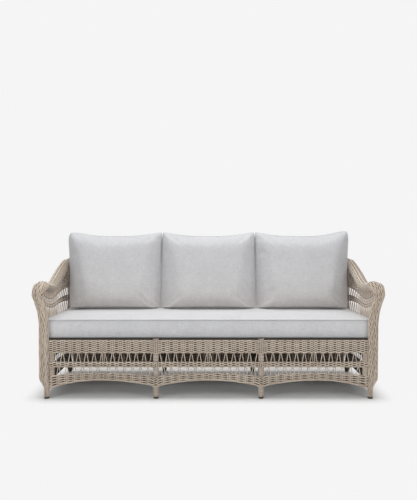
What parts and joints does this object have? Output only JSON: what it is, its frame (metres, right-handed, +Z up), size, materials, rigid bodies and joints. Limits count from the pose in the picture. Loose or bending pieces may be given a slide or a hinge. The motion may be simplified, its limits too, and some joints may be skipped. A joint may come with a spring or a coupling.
{
  "type": "rattan garden sofa",
  "caption": "Long garden sofa in woven rattan over a tube frame, with rolled arms, open woven rows, a scalloped skirt, one seat cushion and loose back cushions.",
  "frame": {"origin": "on the floor, under the middle of the sofa's overall box", "axes": "+X to the sofa's right as seen from the front, +Y towards its back, +Z up"},
  "size_m": [2.1056, 0.819, 0.9802],
  "materials": {
    "rattan": "round synthetic rattan strands, washed grey-beige with streaks, matt",
    "aluminium": "powder-coated tube, satin",
    "glide": "dark moulded plastic, matt",
    "seat_fabric": "pale grey woven outdoor fabric with piped seams",
    "back_fabric": "pale grey woven outdoor fabric with piped seams"
  },
  "bodies": {
    "frame": {"seat_rail_front": "aluminium", "seat_rail_rear": "aluminium", "seat_rail_left": "aluminium", "seat_rail_right": "aluminium", "seat_bearer_1": "aluminium", "seat_bearer_2": "aluminium", "seat_bearer_3": "aluminium", "seat_bearer_4": "aluminium", "seat_bearer_5": "aluminium", "seat_deck": "rattan", "front_post_left": "rattan", "arm_tube_left": "aluminium", "arm_roll_left": "rattan", "rear_corner_post_left": "rattan", "rear_corner_core_left": "aluminium", "rear_mid_post_left": "rattan", "rear_mid_core_left": "aluminium", "front_mid_leg_left": "rattan", "front_mid_core_left": "aluminium", "glide_front_left": "glide", "glide_front_mid_left": "glide", "glide_rear_left": "glide", "glide_rear_mid_left": "glide", "front_skirt_left": "rattan", "rear_skirt_left": "rattan", "side_skirt_left": "rattan", "arm_wall_left": "rattan", "back_wall_left": "rattan", "front_post_right": "rattan", "arm_tube_right": "aluminium", "arm_roll_right": "rattan", "rear_corner_post_right": "rattan", "rear_corner_core_right": "aluminium", "rear_mid_post_right": "rattan", "rear_mid_core_right": "aluminium", "front_mid_leg_right": "rattan", "front_mid_core_right": "aluminium", "glide_front_right": "glide", "glide_front_mid_right": "glide", "glide_rear_right": "glide", "glide_rear_mid_right": "glide", "front_skirt_right": "rattan", "rear_skirt_right": "rattan", "side_skirt_right": "rattan", "arm_wall_right": "rattan", "back_wall_right": "rattan", "back_tube": "aluminium", "back_roll": "rattan", "front_skirt_middle": "rattan", "rear_skirt_middle": "rattan", "back_wall_middle": "rattan"},
    "seat_cushion": {"seat_cushion": "seat_fabric"},
    "back_cushion_left": {"back_cushion_left": "back_fabric"},
    "back_cushion_middle": {"back_cushion_middle": "back_fabric"},
    "back_cushion_right": {"back_cushion_right": "back_fabric"}
  },
  "joints": [
    {"name": "seat_cushion_lift", "type": "slide", "parent": "frame", "child": "seat_cushion", "axis": [0, 0, 1], "range_m": [0, 0.12]},
    {"name": "back_cushion_left_lift", "type": "slide", "parent": "seat_cushion", "child": "back_cushion_left", "axis": [0, 0, 1], "range_m": [0, 0.4]},
    {"name": "back_cushion_middle_lift", "type": "slide", "parent": "seat_cushion", "child": "back_cushion_middle", "axis": [0, 0, 1], "range_m": [0, 0.4]},
    {"name": "back_cushion_right_lift", "type": "slide", "parent": "seat_cushion", "child": "back_cushion_right", "axis": [0, 0, 1], "range_m": [0, 0.4]}
  ]
}
